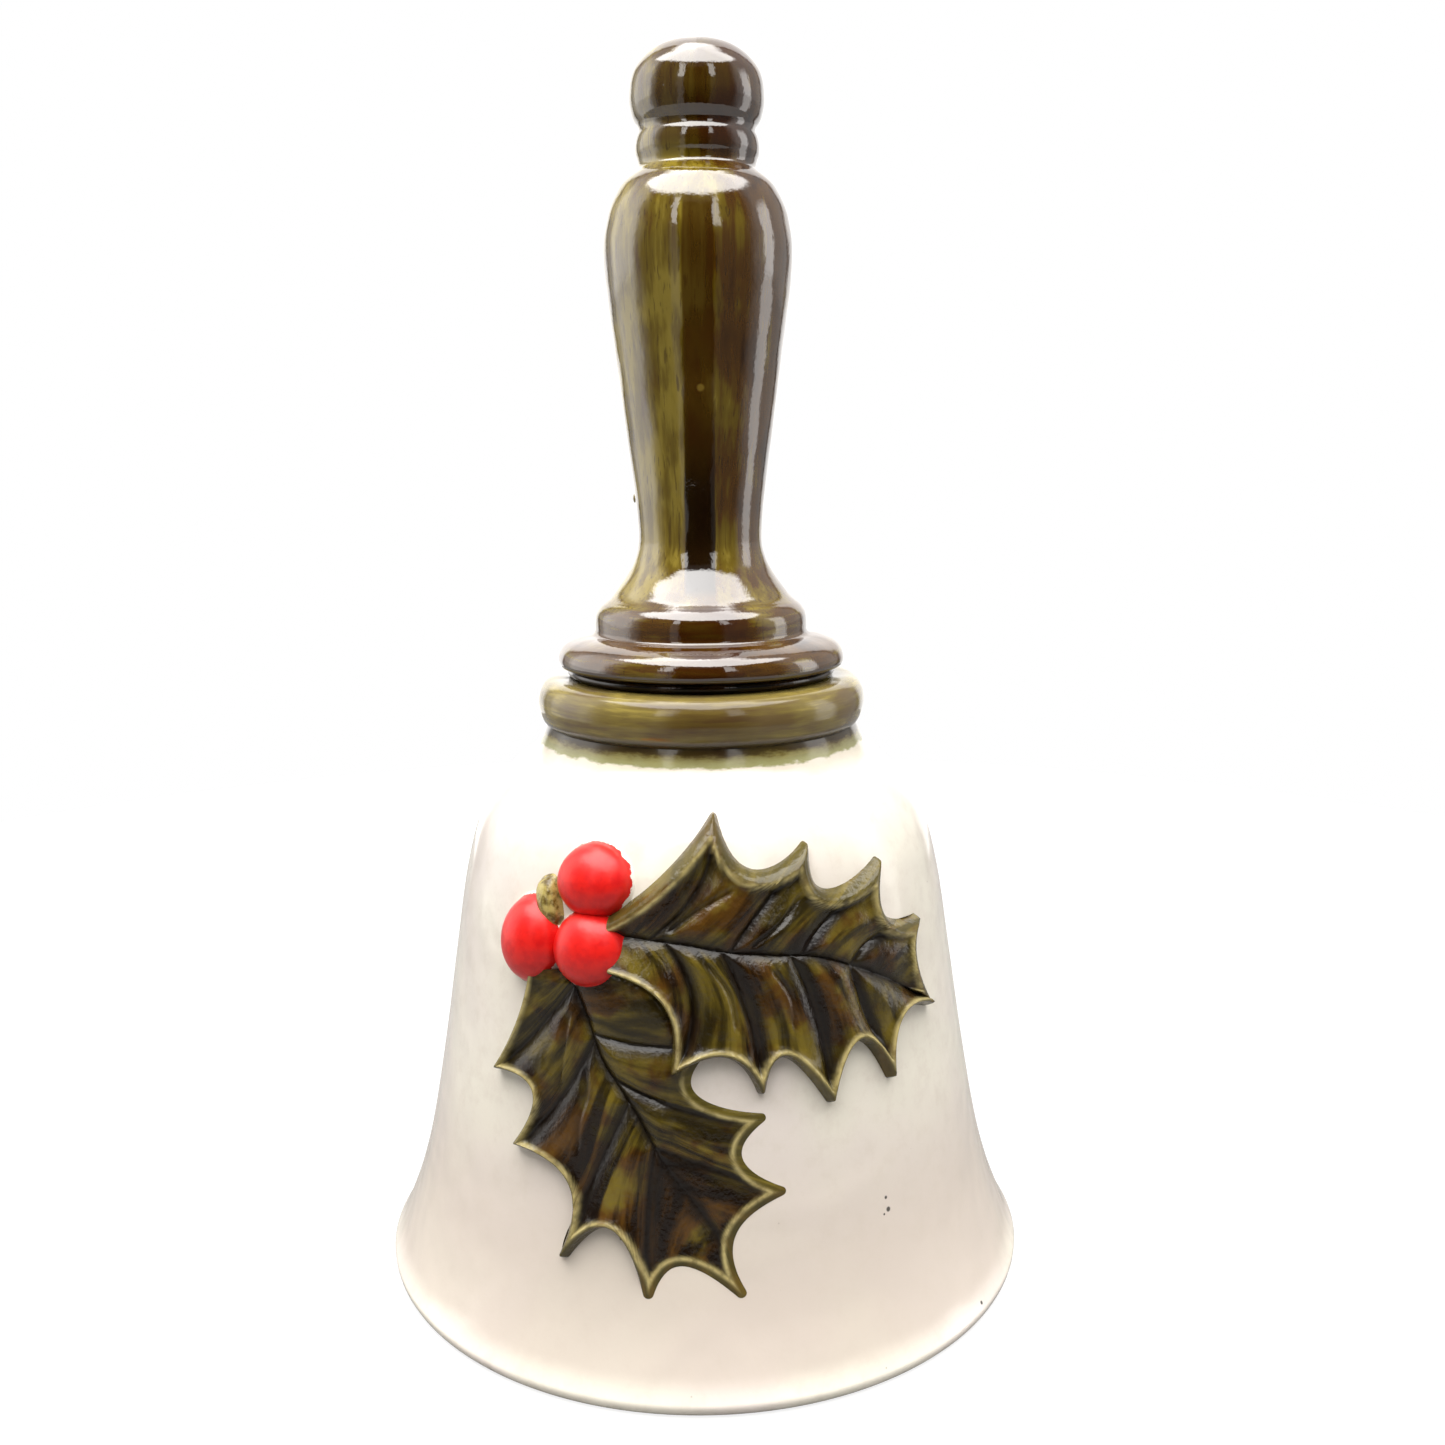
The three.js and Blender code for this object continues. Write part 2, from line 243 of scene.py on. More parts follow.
def glaze_surface_group():
    """What every glaze here shares: slow waves left by the dip or the brush, fine orange peel
    and the odd pinhole. It puts out a height in millimetres and a pinhole mask."""
    tree = bpy.data.node_groups.new("glaze_surface", "ShaderNodeTree")
    tree.interface.new_socket("Place", in_out="INPUT", socket_type="NodeSocketVector")
    tree.interface.new_socket("Waves", in_out="INPUT", socket_type="NodeSocketFloat")
    tree.interface.new_socket("Peel", in_out="INPUT", socket_type="NodeSocketFloat")
    tree.interface.new_socket("Height", in_out="OUTPUT", socket_type="NodeSocketFloat")
    tree.interface.new_socket("Pinholes", in_out="OUTPUT", socket_type="NodeSocketFloat")
    group = Recipe(tree)
    given = group.node("NodeGroupInput").outputs
    result = group.node("NodeGroupOutput").inputs
    waves = group.product(group.noise(given["Place"], 0.13, 1), given["Waves"])
    peel = group.product(group.noise(given["Place"], 1.3, 2), given["Peel"])
    cells = group.node("ShaderNodeTexVoronoi", {"Vector": given["Place"], "Scale": 0.15})
    hole = group.math("LESS_THAN", cells.outputs["Distance"], pinhole_size)
    group.join(group.sum(waves, peel, group.product(hole, -pinhole_depth)), result["Height"])
    group.join(hole, result["Pinholes"])
    return tree


glaze_surface = glaze_surface_group()


def glazed(finish, waves, peel):
    """The glaze surface placed in one finish: its normal and its pinhole mask."""
    inputs = {"Place": finish.place, "Waves": waves, "Peel": peel}
    made = finish.node("ShaderNodeGroup", node_tree=glaze_surface)
    for socket, value in inputs.items():
        finish.join(value, made.inputs[socket])
    return finish.bump(made.outputs["Height"]), made.outputs["Pinholes"]


def olive_brushwork(finish, streaks, browning):
    """Brushed olive glaze: olive where it lies thin, brown where the brush left it thick."""
    blotches = finish.noise(finish.place, 0.09, 2)
    lines = finish.noise(streaks, 1, 4, 0.6)
    thickness = finish.sum(finish.product(blotches, 0.5), finish.product(lines, 0.5), browning)
    thin = finish.mix(finish.ramp(thickness, 0.36, 0.47), hue(150, 130, 46), hue(112, 92, 20))
    deep = finish.mix(finish.ramp(thickness, 0.46, 0.58), thin, hue(84, 54, 10))
    return finish.mix(finish.ramp(thickness, 0.58, 0.76), deep, hue(42, 20, 5))


outer_wall = smooth_line(wall_stations, 8)


def outer_radius(height):
    """Radius of the outer wall at a height between the lip and the neck."""
    for low, high in zip(outer_wall, outer_wall[1:]):
        if high.y >= height:
            share = max(height - low.y, 0) / (high.y - low.y)
            return low.x + (high.x - low.x) * share
    return outer_wall[-1].x


def white_glaze():
    finish = Finish("white_glaze", IOR=1.52)
    normal, pinholes = glazed(finish, waves=0.3, peel=0.01)
    across, depth, height = finish.apart()
    cloudy = finish.noise(finish.place, 0.035, 2)
    warm = finish.mix(finish.ramp(cloudy, 0.38, 0.62), hue(233, 227, 212), hue(229, 219, 210))
    curdled = finish.ramp(finish.noise(finish.place, 0.3, 4, 0.7), 0.42, 0.75, 0, 0.5)
    colour = finish.mix(curdled, warm, hue(218, 208, 194))
    colour = finish.mix(finish.product(pinholes, 0.4), colour, hue(120, 104, 84))
    # Painted shade: the white is painted warmer and greyer from about mid-height down to just above the
    # lip.
    painted_lower_shade = finish.product(finish.ramp(height, 46, 16), finish.ramp(height, 2, 6), 0.75)
    colour = finish.mix(painted_lower_shade, colour, hue(204, 191, 178))
    for x, z, width in specks:
        spot = Vector((x, -math.sqrt(outer_radius(z) ** 2 - x ** 2), z))
        dark = finish.near(spot, width * 0.35, width * 0.7, 0.9)
        colour = finish.mix(dark, colour, hue(36, 32, 28))

    # The olive on the neck ends in a ragged edge, with a faint wash of it beyond.
    ragged = finish.noise(finish.stretched(0.3, 0.3, 0.9), 1, 4, 0.7)
    edge = finish.sum(height, finish.product(finish.sum(ragged, -0.5), 1.8))
    wash = finish.ramp(edge, border_height - 4, border_height - 0.4, 0, 0.14)
    washed = finish.mix(wash, colour, hue(206, 196, 120))
    olive = olive_brushwork(finish, finish.stretched(0.1, 0.1, 1.1), -0.03)
    olive = finish.mix(0.25, olive, hue(150, 142, 104))
    thin_edge = finish.ramp(edge, border_height, border_height + 2.4)
    olive = finish.mix(thin_edge, hue(154, 152, 104), olive)
    # Painted reflection: the front of the crown ring is painted dark brown, for the dark figure in
    # front mirrored in its glaze.
    in_front = finish.ramp(finish.math("ABSOLUTE", finish.sum(across, -1)), 10, 4, 0, 0.55)
    in_front = finish.product(
        in_front, finish.math("LESS_THAN", depth, 0), finish.ramp(height, 96.5, 98),
        finish.ramp(height, 102.6, 101.8),
    )
    olive = finish.mix(in_front, olive, hue(64, 34, 6))
    # Glaze gathered in the neck groove, painted darker still as painted shade.
    groove = finish.product(finish.ramp(edge, 93.4, 94.4), finish.ramp(height, 96.8, 95.8))
    olive = finish.mix(finish.product(groove, 0.85), olive, hue(44, 28, 8))
    # It is brushed on the outside and on top only.
    flat = finish.stretched(1, 1, 0)
    from_axis = finish.node("ShaderNodeVectorMath", {0: flat}, operation="LENGTH").outputs["Value"]
    outside = finish.math("GREATER_THAN", from_axis, olive_radius)
    on_top = finish.math("GREATER_THAN", height, crown_height - 3)
    painted = finish.product(
        finish.ramp(edge, border_height - 0.25, border_height + 0.25),
        finish.math("MAXIMUM", outside, on_top),
    )
    colour = finish.mix(painted, washed, olive)

    # The wiped foot ring is bare biscuit.
    bare = finish.ramp(height, 0.1, 0.45, 1, 0)
    colour = finish.mix(bare, colour, hue(224, 204, 178))
    roughness = finish.ramp(height, 0.1, 0.45, 0.85, 0.12)
    return finish.show(Base_Color=colour, Roughness=roughness, Normal=normal)


def shell_section():
    inner_wall = beside(smooth_line(wall_stations[1:], 8), -wall_thickness)
    underside = crown_height - crown_thickness
    ring_top = (crown_radius - 0.7, 101.6)
    return [
        *points([(foot_inner, 0), (foot_inner + 0.6, 0), (foot_outer - 0.4, 0)]),
        *bend((foot_outer, 0), (rim_radius, 0.3), (rim_radius, 2), 6),
        *outer_wall,
        *bend(wall_stations[-1], (crown_radius - 0.4, 95.9), (crown_radius, 98.2), 8),
        *bend((crown_radius, 98.2), (crown_radius + 0.15, 100.2), ring_top, 8),
        *bend(ring_top, (crown_radius - 1.4, crown_height), (crown_radius - 3.6, crown_height), 8),
        *points([(16, crown_height), (throat_radius + 0.4, crown_height)]),
        *points([(throat_radius, crown_height - 0.4), (throat_radius, underside + 0.4)]),
        *bend((throat_radius + 0.4, underside), (20, underside), inner_wall[-1], 10),
        *reversed(inner_wall[:-1]),
    ]


shell = finished("bell_shell_cast", turned(shell_section(), 208), white_glaze())
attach(shell, "bell")
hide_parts("bell_shell")

# ---------------------------------------------------------------- holly leaves
# Two leaves pressed in clay from a carved mould and luted to the wall with slip. Creases run
# from each midrib out to the spines, pleats rise between them, and a sharp lip goes round the
# edge. The olive glaze pools black in the creases, and painted shade widens the dark on one side
# of each crease and in the hollows. The glaze breaks pale on the lip, lightened further there as a
# painted highlight.

unrolled_radius = 43          # the wall is laid out flat at this radius, to draw the sprig on
lip_height = 2.3
crease_height = 0.3
pleat_height = 1.75
leaf_back = -0.9              # the luted back lies this deep in the wall
end_radius = 0.7
pleat_run = 1.6               # a pleat rises to its height over about this far from a crease
lip_run = 0.55                # and the lip falls to the pleats over about this far
score_depth = 0.55
score_width = 0.4
edge_steps = 26
end_steps = 5
crease_steps = 34


def laid_out(x, z):
    """A place on the wall, given as X and height, on the flat layout."""
    return Vector((unrolled_radius * math.asin(x / outer_radius(z)), z))


def on_wall(place):
    """A point of the flat layout, with its height above it, brought round onto the wall."""
    angle = place.x / unrolled_radius
    slope = outer_radius(place.y + 0.5) - outer_radius(place.y - 0.5)
    outwards = Vector((1, -slope)).normalized() * place.z
    reach = outer_radius(place.y) + outwards.x
    return Vector((reach * math.sin(angle), -reach * math.cos(angle), place.y + outwards.y))


def along(line, share):
    """The point at a share of the line's steps."""
    place = share * (len(line) - 1)
    index = min(int(place), len(line) - 2)
    return line[index].lerp(line[index + 1], place - index)


def evenly(line, steps):
    """The line cut into even steps."""
    lengths = [0.0]
    for start, end in zip(line, line[1:]):
        lengths.append(lengths[-1] + (end - start).length)
    cut = []
    index = 0
    for i in range(steps + 1):
        wanted = lengths[-1] * i / steps
        while index < len(line) - 2 and lengths[index + 1] < wanted:
            index += 1
        share = (wanted - lengths[index]) / max(lengths[index + 1] - lengths[index], 1e-6)
        cut.append(line[index].lerp(line[index + 1], share))
    return cut


def hollow(start, bottom, end, steps):
    """A hollow curve that passes through its bottom half way."""
    return bend(start, 2 * bottom - (start + end) / 2, end, steps)


def round_end(tip, first, last, radius):
    """The arc about a spine's tip, from one direction to another."""
    turn = math.atan2(first.cross(last), first.dot(last))
    arc = []
    for i in range(end_steps + 1):
        direction = Matrix.Rotation(turn * i / end_steps, 2) @ first
        arc.append(tip + direction * radius)
    return arc


def bay_edge(start, bottom, end, side, radius, leaving=None, arriving=None):
    """The leaf's edge from one spine to the next, round both of their ends."""
    curve = hollow(start, bottom, end, edge_steps)
    edge = beside(curve, side * radius)
    first = (edge[0] - curve[0]).normalized()
    last = (edge[-1] - curve[-1]).normalized()
    before = round_end(start, leaving or first, first, radius)
    after = round_end(end, last, arriving or last, radius)
    return before[:-1] + edge + after[1:]


def crease_shares():
    """Where the rows lie from the midrib out to the edge: close together at both ends."""
    shares = []
    for i in range(crease_steps + 1):
        share = i / crease_steps
        shares.append(share - 0.105 * math.sin(math.tau * share))
    return shares


def pleat(body, near, far, first, last, lip_width):
    """One pleat, filled in between a stretch of midrib, a stretch of edge and two creases."""
    values = body.verts.layers.float
    columns = len(far) - 1
    made = bmesh.ops.create_grid(body, x_segments=columns, y_segments=crease_steps, size=0.5)
    shares = crease_shares()
    for vert in made["verts"]:
        u = vert.co.x + 0.5
        t = shares[round((vert.co.y + 0.5) * crease_steps)]
        rows = along(near, u).lerp(along(far, u), t)
        folds = along(first, t).lerp(along(last, t), u)
        corners = near[0].lerp(near[-1], u).lerp(far[0].lerp(far[-1], u), t)
        place = rows + folds - corners
        vert.co = (place.x, place.y, 0)
        vert[values["fold"]] = u
        vert[values["reach"]] = t
        vert[values["lip"]] = lip_width
        vert[values["pleat"]] = first[0].y * 3.1      # far enough apart for other brush strokes


def leaf_body(leaf, lift):
    """A leaf as a mesh on the flat layout: its pleats, raised to the carved relief and backed."""
    body = bmesh.new()
    for value in ("fold", "reach", "lip", "pleat"):
        body.verts.layers.float.new(value)
    end = laid_out(*leaf["end"])
    midrib = evenly(smooth_line([laid_out(*place) for place in leaf["midrib"]], 10), 200)
    onwards = (end - midrib[-1]).normalized()
    point = end + onwards * end_radius
    midrib = evenly(midrib + [end, point], 400)
    outline = []
    creases = list(midrib)
    for side, radius, lip_width, base, bays in leaf["sides"]:
        share = 0
        corner = laid_out(*base)
        crease = leaving = None
        for bay in bays:
            bottom = laid_out(*bay["bay"])
            if "tip" in bay:
                tip, middle = laid_out(*bay["tip"]), laid_out(*bay["crease"])
                arriving = (tip - middle).normalized()
                foot = along(midrib, bay["foot"])
                next_share = bay["foot"]
                edge = bay_edge(corner, bottom, tip, side, radius, leaving, arriving)
                next_crease = evenly(hollow(foot, middle, edge[-1], 40), 100)
                creases += next_crease
            else:
                tip, arriving, next_share = end, onwards, 1
                edge = bay_edge(corner, bottom, tip, side, radius, leaving, arriving)
                next_crease = [point, point]
            if crease is None:
                crease = [midrib[0].lerp(edge[0], i / 20) for i in range(21)]
            near = [along(midrib, share + (next_share - share) * i / 60) for i in range(61)]
            pleat(body, near, edge, crease, next_crease, lip_width)
            outline += evenly(edge, 300)
            corner, crease, leaving, share = tip, next_crease, arriving, next_share
    bmesh.ops.remove_doubles(body, verts=body.verts, dist=0.004)
    carve(body, outline, creases, leaf["scores"], lift)
    return body


def nearest(line):
    """A search over the line's points."""
    tree = kdtree.KDTree(len(line))
    for i, point in enumerate(line):
        tree.insert((point.x, point.y, 0), i)
    tree.balance()
    return tree


def carve(body, outline, creases, scores, lift):
    """Raises the leaf's relief, notes how the glaze lies on it and where painted shade and highlight
    go, and closes it at the back.
    """
    fold, lip = body.verts.layers.float["fold"], body.verts.layers.float["lip"]
    glaze = body.verts.layers.float_color.new("glaze")
    scored_lines = []
    for score in scores:
        scored_lines += evenly(smooth_line([laid_out(*place) for place in score], 8), 80)
    edge_tree, crease_tree, score_tree = nearest(outline), nearest(creases), nearest(scored_lines)
    for vert in body.verts:
        edge = edge_tree.find(vert.co)[2]
        crease = crease_tree.find(vert.co)[2]
        lip_width = vert[lip]
        raised = 1 - math.exp(-crease / pleat_run)
        floor = crease_height + (pleat_height - crease_height) * raised
        scored = math.exp(-(score_tree.find(vert.co)[2] / score_width) ** 2) * min(edge / 4, 1)
        floor -= score_depth * scored
        floor += 0.16 * noise.noise(vert.co * 0.35)
        inside = max(edge - lip_width, 0)
        if edge < lip_width:
            height = lip_height * (1 - (1 - edge / lip_width) ** 2.2)
        else:
            height = floor + (lip_height - floor) * math.exp(-inside / lip_run)
        lip_break_and_highlight = math.exp(-((edge - lip_width) / 0.3) ** 2)
        # Painted shade: the dark beside a crease is widened on one side of it, and in the hollow inside
        # the lip.
        reach = 0.75 + 1.1 * (1 - vert[fold]) ** 2
        pool_and_shade = math.exp(-(crease / reach) ** 1.5) + 0.45 * scored
        pool_and_shade += 0.4 * math.exp(-(inside / 0.7) ** 2)
        pool_and_shade *= min(inside / 0.5, 1)
        outer = 1 if edge < lip_width * 0.8 else 0
        vert[glaze] = (lip_break_and_highlight, min(pool_and_shade, 1), outer, 1)
        height *= lift(vert.co)
        height += glaze_bead_height * math.exp(-((vert.co.xy - glaze_bead).length / 0.7) ** 2)
        vert.co.z = height
    front = list(body.faces)
    made = bmesh.ops.extrude_face_region(body, geom=front, use_keep_orig=True)
    for item in made["geom"]:
        if isinstance(item, bmesh.types.BMVert):
            item.co.z = leaf_back
    for vert in body.verts:
        vert.co = on_wall(vert.co)
    bmesh.ops.recalc_face_normals(body, faces=body.faces)


# Each leaf's places are X and height on the wall. A side is given as which way its edge turns, the
# radius of its spines' ends, the width of its lip, where its edge starts and its bays in order.
right_leaf = {
    "scores": [
        [(-4, 70.5), (0, 73.5), (4.5, 76)], [(8, 68.2), (12, 71), (14.5, 74.5)],
        [(1.5, 65.5), (4.5, 61), (5.5, 56)], [(11, 64), (13.5, 60), (14, 55.5)],
    ],
    "midrib": [
        (-13, 69.4), (-7.5, 69), (-2, 68.4), (4, 67.3), (11, 66.4), (17, 65.5), (23, 63), (30, 58.6),
        (34.5, 54.6),
    ],
    "end": (36.3, 52.6),
    "sides": [
        (-1, 0.8, 2.5, (-13, 71.8), [
            {"bay": (-6, 77), "tip": (2.2, 86), "crease": (0.2, 77.2), "foot": 0.1},
            {"bay": (7.6, 78.4), "tip": (16, 81.4), "crease": (10.8, 75.2), "foot": 0.31},
            {"bay": (18.8, 74.4), "tip": (27.6, 77.2), "crease": (20.6, 71.8), "foot": 0.5},
            {"bay": (28.2, 69), "tip": (34.4, 66.4), "crease": (27.8, 66.6), "foot": 0.65},
            {"bay": (33.4, 61.2)},
        ]),
        (1, 0.7, 1.15, (-12.6, 64), [
            {"bay": (-4.8, 59.6), "tip": (-3.8, 49.8), "crease": (-1.1, 59.8), "foot": 0.14},
            {"bay": (4.1, 52.2), "tip": (9.2, 46.5), "crease": (7.4, 57.2), "foot": 0.29},
            {"bay": (12.7, 51.6), "tip": (19.7, 43.6), "crease": (17.6, 55.8), "foot": 0.47},
            {"bay": (23.7, 51.9), "tip": (29.4, 44.5), "crease": (25.4, 54.6), "foot": 0.65},
            {"bay": (30.7, 53.2)},
        ]),
    ],
}
lower_leaf = {
    "scores": [
        [(-19.5, 56.3), (-20.3, 51.4), (-21.2, 45.5)],
        [(-17.1, 48.7), (-16.8, 45.4), (-18, 40.5), (-18.2, 36.7)],
        [(-5.5, 36), (-1, 35.5), (3, 38)], [(-3, 30.5), (-3.6, 26), (-5.5, 22.5)],
    ],
    "midrib": [
        (-19.8, 63.5), (-16.7, 56), (-14.6, 50.5), (-11.5, 46), (-8.9, 42), (-7, 38.5), (-4.5, 34.5),
        (-1, 30.2), (2.3, 25.5), (4.8, 20),
    ],
    "end": (6.1, 16.7),
    "sides": [
        (-1, 0.7, 1.3, (-12, 66), [
            {"bay": (-4, 63), "tip": (1.4, 53.6), "crease": (-8.4, 53.2), "foot": 0.19},
            {"bay": (-1.5, 46.3), "tip": (9.2, 42.2), "crease": (-0.5, 43.3), "foot": 0.33},
            {"bay": (5.6, 36.4), "tip": (12.2, 30.9), "crease": (3.2, 34.6), "foot": 0.54},
            {"bay": (4.6, 25.4)},
        ]),
        (1, 0.7, 1.15, (-25.2, 62), [
            {"bay": (-27.4, 53.6), "tip": (-31.4, 45.3), "crease": (-26, 51.4), "foot": 0.05},
            {"bay": (-24.9, 44), "tip": (-28.1, 34.9), "crease": (-21.4, 43.1), "foot": 0.21},
            {"bay": (-19.4, 31.6), "tip": (-20.7, 20.4), "crease": (-16.6, 31.4), "foot": 0.4},
            {"bay": (-13.2, 25.9), "tip": (-7.9, 16.5), "crease": (-8.1, 26.8), "foot": 0.54},
            {"bay": (-2.8, 21.4)},
        ]),
    ],
}


glaze_bead = laid_out(20.6, 61.9)         # a stray drop of glaze, fired on
glaze_bead_height = 0.55
overlap = hollow(laid_out(-12.6, 64), laid_out(-5.2, 59.2), laid_out(-4, 49.2), 40)


def lifted_over(place):
    """The right leaf rises where it laps over the lower one."""
    away = min((place.xy - point).length for point in overlap)
    return 1 + 0.3 * math.exp(-(away / 4) ** 2)


def tucked_under(place):
    """The lower leaf drops away where it goes under the right one."""
    index = min(range(1, len(overlap)), key=lambda i: (place.xy - overlap[i]).length)
    along_edge = overlap[index] - overlap[index - 1]
    from_edge = place.xy - overlap[index]
    under = along_edge.normalized().cross(from_edge)
    return 1 - 0.9 * min(max((under + 0.4) / 1.6, 0), 1)


def leaf_glaze():
    finish = Finish("leaf_glaze", IOR=1.42)
    normal = glazed(finish, waves=0.5, peel=0.1)[0]
    laid = finish.node("ShaderNodeAttribute", attribute_name="glaze").outputs["Color"]
    lip_break_and_highlight, pool_and_shade, outer = finish.node("ShaderNodeSeparateColor", {0: laid}).outputs
    patches = finish.noise(finish.place, 0.13, 3, 0.55)
    # The brush followed the pleats from the midrib out.
    fold = finish.node("ShaderNodeAttribute", attribute_name="fold").outputs["Fac"]
    reach = finish.node("ShaderNodeAttribute", attribute_name="reach").outputs["Fac"]
    pleat = finish.node("ShaderNodeAttribute", attribute_name="pleat").outputs["Fac"]
    brushed = finish.node("ShaderNodeCombineXYZ", {
        0: finish.product(fold, 5), 1: finish.product(reach, 1.1), 2: pleat,
    }).outputs[0]
    flow = finish.noise(brushed, 1, 4, 0.55)
    olive = finish.mix(finish.ramp(flow, 0.36, 0.66), hue(44, 36, 11), hue(110, 94, 32))
    brown = finish.mix(finish.ramp(flow, 0.36, 0.66), hue(26, 14, 5), hue(84, 56, 18))
    height = finish.apart()[2]
    low = finish.ramp(height, 40, 24, 0, 0.14)
    colour = finish.mix(finish.ramp(finish.sum(patches, low), 0.44, 0.6), olive, brown)
    # The lower leaf has the thickest coat over its lower half.
    thick = finish.product(finish.ramp(height, 46, 32), finish.ramp(flow, 0.62, 0.42), 0.7)
    colour = finish.mix(thick, colour, hue(14, 7, 4))
    colour = finish.mix(finish.product(outer, 0.4), colour, hue(104, 94, 44))
    # Glaze pooled black in the creases, with painted shade widening it on one side.
    colour = finish.mix(finish.product(pool_and_shade, 0.97), colour, hue(15, 8, 4))
    broken = finish.ramp(finish.noise(finish.place, 0.6, 3), 0.3, 0.6, 0.45, 1)
    # Pale glaze break on the lip, lightened further as a painted highlight.
    colour = finish.mix(finish.product(lip_break_and_highlight, broken, 0.9), colour, hue(190, 174, 116))
    # The glaze dulled a little where it pooled in the creases.
    roughness = finish.ramp(pool_and_shade, 0.1, 0.7, 0.2, 0.3)
    return finish.show(Base_Color=colour, Roughness=roughness, Normal=normal)


leaf_finish = leaf_glaze()
for name, leaf, lift in (("right", right_leaf, lifted_over), ("lower", lower_leaf, tucked_under)):
    piece = finished(f"holly_leaf_{name}_pressed", leaf_body(leaf, lift), leaf_finish, 70)
    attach(piece, "bell")
    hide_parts(f"holly_leaf_{name}")

# ---------------------------------------------------------------- berries and stalk
# Three balls of clay pressed onto the wall, and the stub of the twig between them. The berries
# are painted red over the glaze, and the paint stops short of the wall in an uneven edge.

berry_proud = 4.4
berries = {
    "berry_top": {"middle": (-15.8, 76.8), "half": (5.5, 5.3)},
    "berry_left": {"middle": (-25.9, 66.6), "half": (4.3, 6.6)},
    "berry_lower": {"middle": (-16.5, 66.8), "half": (5.4, 5.8)},
}


def pressed_ball(middle, half, proud, turn=0.0, blunt=2.0):
    """A ball flattened onto the wall, with a small fillet of glaze round its foot."""
    body = bmesh.new()
    bmesh.ops.create_uvsphere(body, u_segments=56, v_segments=36, radius=1)
    rise = body.verts.layers.float.new("rise")
    centre = laid_out(*middle)
    left, right = laid_out(middle[0] - half[0], middle[1]), laid_out(middle[0] + half[0], middle[1])
    half_width = (right - left).x / 2
    for vert in body.verts:
        up = vert.co.z
        across = Vector((vert.co.x, vert.co.y))
        if across.length > 0:
            corner = (abs(across.x) ** blunt + abs(across.y) ** blunt) ** (1 / blunt)
            across *= across.length / corner
        across *= 1 + 0.09 * math.exp(-(up / 0.13) ** 2)
        across = Matrix.Rotation(turn, 2) @ Vector((across.x * half_width, across.y * half[1]))
        vert[rise] = max(up, 0)
        height = up * proud if up > 0 else up * 0.9
        vert.co = on_wall(Vector((centre.x + across.x, centre.y + across.y, height)))
    bmesh.ops.recalc_face_normals(body, faces=body.faces)
    return body


def berry_paint():
    finish = Finish("berry_paint", IOR=1.5)
    normal = glazed(finish, waves=0.1, peel=0.03)[0]
    rise = finish.node("ShaderNodeAttribute", attribute_name="rise").outputs["Fac"]
    ragged = finish.product(finish.sum(finish.noise(finish.place, 0.9, 3, 0.6), -0.5), 0.34)
    painted = finish.ramp(finish.sum(rise, ragged), 0.11, 0.145)
    blotches = finish.noise(finish.place, 0.7, 3)
    red = finish.mix(finish.ramp(blotches, 0.35, 0.7), hue(232, 30, 22), hue(214, 16, 16))
    # Painted shade: the red darkens towards its lower edge, where the berry meets the wall.
    foot_shade = finish.ramp(finish.sum(rise, ragged), 0.11, 0.2, 1, 0)
    red = finish.mix(finish.product(foot_shade, 0.5), red, hue(120, 20, 14))
    colour = finish.mix(painted, hue(244, 236, 226), red)
    roughness = finish.ramp(painted, 0, 1, 0.12, 0.34)
    return finish.show(Base_Color=colour, Roughness=roughness, Normal=normal)


berry_finish = berry_paint()
for name, berry in berries.items():
    body = pressed_ball(berry["middle"], berry["half"], berry_proud)
    piece = finished(f"{name}_ball", body, berry_finish)
    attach(piece, "bell")
    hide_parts(name)


def stalk_glaze():
    finish = Finish("stalk_glaze", Roughness=0.14, IOR=1.52)
    normal = glazed(finish, waves=0.3, peel=0.12)[0]
    grain = finish.noise(finish.place, 0.7, 3, 0.6)
    colour = finish.mix(finish.ramp(grain, 0.35, 0.65), hue(176, 160, 92), hue(92, 74, 26))
    return finish.show(Base_Color=colour, Normal=normal)


stalk = pressed_ball((-22.9, 72.6), (1.7, 3.9), 2.3, turn=0.35, blunt=3.2)
stalk = finished("holly_stalk_stub", stalk, stalk_glaze())
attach(stalk, "bell")
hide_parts("holly_stalk")

# ---------------------------------------------------------------- joining bead
# Slip squeezed out where the handle is luted to the crown. The glaze has run into the groove and
# stands there thick and almost black.

bead_inner = 15
bead_outer = 23.4


def bead_glaze():
    finish = Finish("fused_glaze", Roughness=0.1, IOR=1.52)
    normal = glazed(finish, waves=0.4, peel=0.03)[0]
    run = finish.noise(finish.stretched(0.25, 0.25, 1), 1, 3)
    colour = finish.mix(finish.ramp(run, 0.35, 0.7), hue(14, 6, 4), hue(60, 36, 14))
    return finish.show(Base_Color=colour, Normal=normal)


bead_section = [
    *points([(bead_inner, 104.6), (bead_inner, 103.2)]),
    *bend((bead_outer - 0.9, 103.15), (bead_outer + 0.1, 103.9), (bead_outer - 0.9, 104.65), 8),
]
bead = finished("joining_bead_glazed", turned(bead_section, 160), bead_glaze())
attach(bead, "bell")
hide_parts("joining_bead")

# ---------------------------------------------------------------- handle
# Slip-cast hollow with its two foot rings, waist, grip, collar and knob in one piece, and luted
# to the crown. Olive glaze is brushed round the rings and up and down the grip and the knob.

handle_base = 104.8
handle_base_radius = 24.7
handle_wall = 5.6
total_height = 205
hollow_base_radius = 13.5
grip_stations = [
    (14.6, 117.5), (11.2, 123), (10.7, 130), (13.1, 150), (15.5, 169.5), (15, 177.5), (13, 182.4),
    (10.5, 184.8),
]
knob_stations = [
    (9.75, 192.1), (10.55, 193.5), (11, 196.2), (10.35, 200), (7.9, 203), (4.4, 204.6),
    (0, total_height),
]


